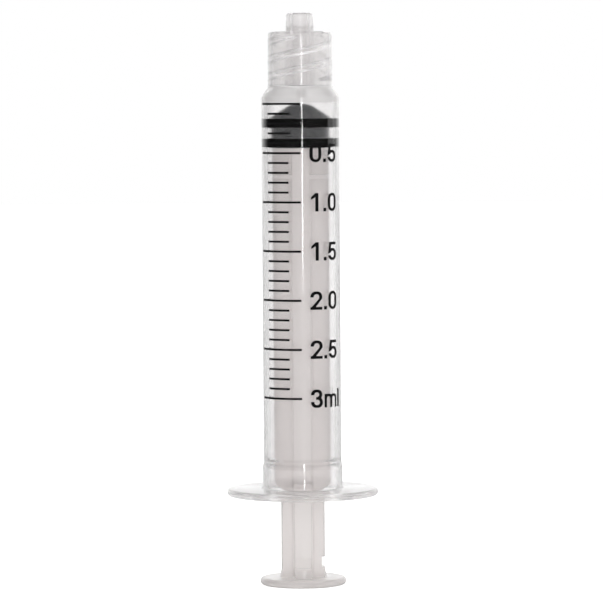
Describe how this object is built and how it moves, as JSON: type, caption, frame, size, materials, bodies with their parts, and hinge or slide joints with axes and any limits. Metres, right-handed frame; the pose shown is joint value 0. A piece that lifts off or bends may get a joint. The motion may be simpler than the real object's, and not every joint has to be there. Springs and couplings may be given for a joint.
{
  "type": "disposable syringe",
  "caption": "Slim disposable syringe with a threaded luer-lock nozzle, round finger flange, rubber stopper, cross-shaped plunger rod and a printed dose scale.",
  "frame": {"origin": "centre of the thumb disc's underside, on the syringe's axis", "axes": "+Z along the axis towards the nozzle; -Y is the front, just right of the printed lines; +X to the right"},
  "size_m": [0.0222, 0.0222, 0.0836],
  "materials": {
    "clear_plastic": "clear natural polypropylene, glossy",
    "milky_plastic": "translucent natural polypropylene, satin gloss",
    "black_rubber": "siliconed synthetic rubber, satin",
    "black_ink": "screen-printed ink"
  },
  "bodies": {
    "rod": {"plunger_rod": "milky_plastic"},
    "stopper": {"stopper": "black_rubber"},
    "barrel": {"barrel": "clear_plastic", "scale_major_lines": "black_ink", "scale_minor_lines": "black_ink", "scale_numerals": "black_ink"}
  },
  "joints": [
    {"name": "rod_turn", "type": "hinge", "parent": "rod", "child": "stopper", "pos_m": [0, 0, 0.064], "axis": [0, 0, 1], "continuous": true},
    {"name": "plunger_slide", "type": "slide", "parent": "stopper", "child": "barrel", "axis": [0, 0, 1], "range_m": [-0.0021, 0.045]}
  ]
}
